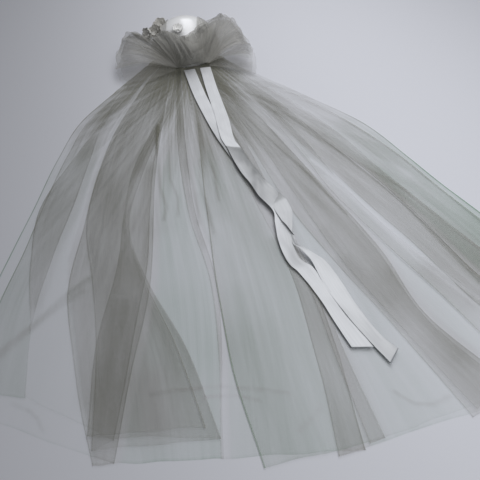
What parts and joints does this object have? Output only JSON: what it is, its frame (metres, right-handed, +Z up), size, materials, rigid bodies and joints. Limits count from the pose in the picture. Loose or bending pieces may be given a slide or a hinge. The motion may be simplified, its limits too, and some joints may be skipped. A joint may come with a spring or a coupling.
{
  "type": "bridal veil",
  "caption": "Bridal veil laid out flat: folded tulle fan gathered under a ruffled tulle pouf on a satin cap with cloth flowers, with satin ribbon streamers.",
  "frame": {"origin": "on the table, just below the place where the net is gathered", "axes": "+Z up from the table, +Y from the hem to the headpiece, +X to the right seen from the hem"},
  "size_m": [0.849, 0.947, 0.081],
  "materials": {
    "tulle": "fine soft white net, see-through, greyer where layers lie on each other",
    "pouf_tulle": "the same net, gathered close",
    "cap_satin": "white satin, smooth with a soft sheen",
    "petal_cloth": "stiffened white cloth petals, greyed with age",
    "ribbon_satin": "white satin ribbon, glossy face"
  },
  "bodies": {
    "root": {"veil_lower": "tulle", "veil_upper_left": "tulle", "veil_upper_right": "tulle", "pouf_left": "pouf_tulle", "pouf_right": "pouf_tulle", "pouf_under_left": "pouf_tulle", "pouf_under_right": "pouf_tulle", "cap": "cap_satin", "heading_band": "cap_satin", "flower_1": "petal_cloth", "flower_2": "petal_cloth", "flower_3": "petal_cloth", "flower_4": "petal_cloth", "ribbon_left": "ribbon_satin", "ribbon_right": "ribbon_satin"}
  },
  "joints": []
}
